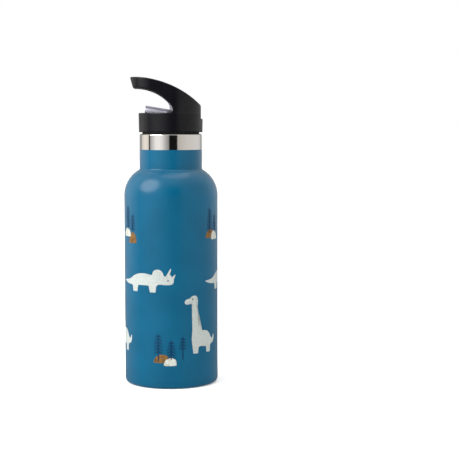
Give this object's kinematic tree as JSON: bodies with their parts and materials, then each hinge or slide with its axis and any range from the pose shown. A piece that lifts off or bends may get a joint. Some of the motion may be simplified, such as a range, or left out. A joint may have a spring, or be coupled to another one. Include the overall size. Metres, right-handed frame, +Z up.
{
  "type": "kids water bottle",
  "caption": "Double-wall steel kids bottle with a threaded straw lid, fixed hook handle and flip-up spout.",
  "frame": {"origin": "centre of the base, on the bottle's axis", "axes": "+Z up along the bottle's axis, hook and folded spout point along -X, spout hinge along Y"},
  "size_m": [0.073, 0.073, 0.2389],
  "materials": {
    "powder_coat": "satin powder coat, teal blue",
    "bare_steel": "polished stainless steel",
    "liner_steel": "electropolished stainless steel",
    "copper_foil": "copper foil",
    "getter_alloy": "sintered",
    "solder_glass": "fused",
    "black_pp": "fine texture, moulded",
    "smoke_tritan": "clear smoke grey, polished",
    "black_silicone": "matte",
    "clear_silicone": "milky, matte",
    "straw_pp": "clear, extruded",
    "print_cream": "pad-printed ink",
    "print_ochre": "pad-printed ink",
    "print_navy": "pad-printed ink"
  },
  "bodies": {
    "bottle": {"outer_shell": "powder_coat", "outer_bottom": "bare_steel", "base_cover": "bare_steel", "getter": "getter_alloy", "seal_bead": "solder_glass", "inner_liner": "liner_steel", "liner_bottom": "liner_steel", "radiation_foil": "copper_foil"},
    "straw_body": {"straw": "straw_pp"},
    "gasket_body": {"lip_gasket": "black_silicone"},
    "lid": {"lid_housing": "black_pp", "screw_plug": "black_pp", "plug_seal": "clear_silicone", "spout_retainer": "black_pp", "spout_seal": "clear_silicone", "vent_valve": "clear_silicone", "straw_grommet": "clear_silicone"},
    "spout_body": {"spout": "smoke_tritan"}
  },
  "joints": [
    {"name": "lid_pull", "type": "slide", "parent": "bottle", "child": "straw_body", "axis": [0, 0, 1], "range_m": [0, 0.192]},
    {"name": "lid_rise", "type": "slide", "parent": "straw_body", "child": "gasket_body", "axis": [0, 0, 1], "range_m": [0, 0.005]},
    {"name": "lid_turn", "type": "hinge", "parent": "gasket_body", "child": "lid", "pos_m": [0, 0, 0.1951], "axis": [0, 0, 1], "range_deg": [0, 450]},
    {"name": "spout_flip", "type": "hinge", "parent": "lid", "child": "spout_body", "pos_m": [-0.001, 0, 0.21], "axis": [0, 1, 0], "range_deg": [0, 100]}
  ],
  "couplings": [
    {"joint": "lid_rise", "follows": "lid_turn", "m_per_rad": 0.00063662}
  ]
}
